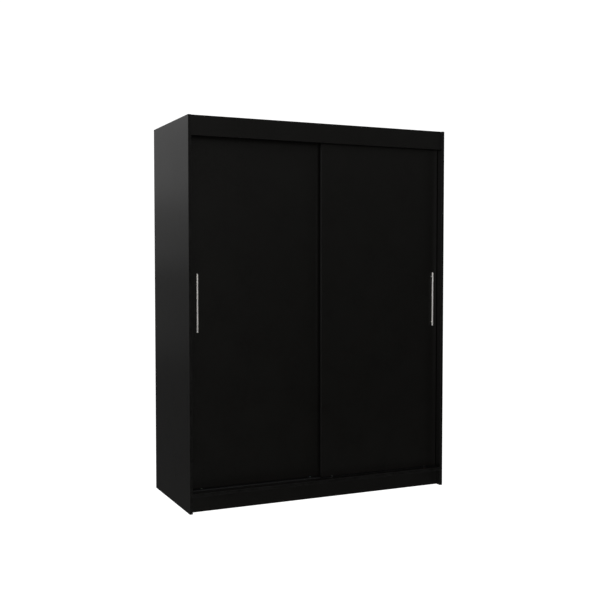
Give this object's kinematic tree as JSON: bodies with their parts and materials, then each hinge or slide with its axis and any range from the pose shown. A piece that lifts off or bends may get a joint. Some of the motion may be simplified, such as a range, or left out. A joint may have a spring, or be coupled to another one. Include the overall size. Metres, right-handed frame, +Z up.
{
  "type": "sliding door wardrobe",
  "caption": "Free-standing black wardrobe with bypassing sliding doors, slim bar handles, a hanging compartment with rail and a shelved compartment.",
  "frame": {"origin": "on the floor, under the centre of the wardrobe's box", "axes": "+Z up, +Y from the doors towards the wall, +X to the right as seen from in front of the doors"},
  "size_m": [1.5, 0.62, 2],
  "materials": {
    "melamine": "satin black melamine on particle board",
    "back_sheet": "thin hardboard, graphite lacquer inside and raw brown fibre outside",
    "handle": "satin brushed",
    "track": "black anodised, drawn along its length",
    "chrome": "polished",
    "steel": "zinc plated",
    "nylon": "moulded, matt",
    "plastic": "extruded, matt",
    "rubber": "matt"
  },
  "bodies": {
    "carcass": {"left_side_panel": "melamine", "right_side_panel": "melamine", "bottom_panel": "melamine", "fascia_board": "melamine", "top_panel": "melamine", "plinth_front": "melamine", "plinth_rear": "melamine", "plinth_centre": "melamine", "centre_divider": "melamine", "back_panel_left": "back_sheet", "back_panel_right": "back_sheet", "back_panel_joiner": "plastic", "top_shelf_left": "melamine", "top_shelf_right": "melamine", "lower_shelf_1": "melamine", "lower_shelf_2": "melamine", "lower_shelf_3": "melamine", "lower_shelf_4": "melamine", "hanging_rail": "chrome", "rail_holder_left": "chrome", "rail_holder_right": "chrome", "top_track": "track", "bottom_track": "track", "front_buffer_left": "rubber", "front_buffer_right": "rubber", "rear_buffer_left": "rubber", "rear_buffer_right": "rubber"},
    "front_door": {"front_door_panel": "melamine", "front_handle": "handle", "front_handle_screw_lower": "steel", "front_handle_screw_upper": "steel", "front_roller_plate_left": "steel", "front_roller_plate_right": "steel", "front_roller_axle_left": "steel", "front_roller_axle_right": "steel", "front_top_guide_left": "nylon", "front_top_guide_right": "nylon"},
    "rear_door": {"rear_door_panel": "melamine", "rear_handle": "handle", "rear_handle_screw_lower": "steel", "rear_handle_screw_upper": "steel", "rear_roller_plate_left": "steel", "rear_roller_plate_right": "steel", "rear_roller_axle_left": "steel", "rear_roller_axle_right": "steel", "rear_top_guide_left": "nylon", "rear_top_guide_right": "nylon"},
    "front_roller_left": {"front_wheel_left": "nylon"},
    "front_roller_right": {"front_wheel_right": "nylon"},
    "rear_roller_left": {"rear_wheel_left": "nylon"},
    "rear_roller_right": {"rear_wheel_right": "nylon"}
  },
  "joints": [
    {"name": "front_door_slide", "type": "slide", "parent": "carcass", "child": "front_door", "axis": [-1, 0, 0], "range_m": [0, 0.735]},
    {"name": "rear_door_slide", "type": "slide", "parent": "carcass", "child": "rear_door", "axis": [1, 0, 0], "range_m": [0, 0.703]},
    {"name": "front_roller_left_spin", "type": "hinge", "parent": "front_door", "child": "front_roller_left", "pos_m": [0.074, -0.256, 0.1168], "axis": [0, 1, 0], "continuous": true},
    {"name": "front_roller_right_spin", "type": "hinge", "parent": "front_door", "child": "front_roller_right", "pos_m": [0.661, -0.256, 0.1168], "axis": [0, 1, 0], "continuous": true},
    {"name": "rear_roller_left_spin", "type": "hinge", "parent": "rear_door", "child": "rear_roller_left", "pos_m": [-0.661, -0.222, 0.1168], "axis": [0, 1, 0], "continuous": true},
    {"name": "rear_roller_right_spin", "type": "hinge", "parent": "rear_door", "child": "rear_roller_right", "pos_m": [-0.042, -0.222, 0.1168], "axis": [0, 1, 0], "continuous": true}
  ],
  "couplings": [
    {"joint": "front_roller_left_spin", "follows": "front_door_slide", "rad_per_m": -95.238},
    {"joint": "front_roller_right_spin", "follows": "front_door_slide", "rad_per_m": -95.238},
    {"joint": "rear_roller_left_spin", "follows": "rear_door_slide", "rad_per_m": 95.238},
    {"joint": "rear_roller_right_spin", "follows": "rear_door_slide", "rad_per_m": 95.238}
  ]
}
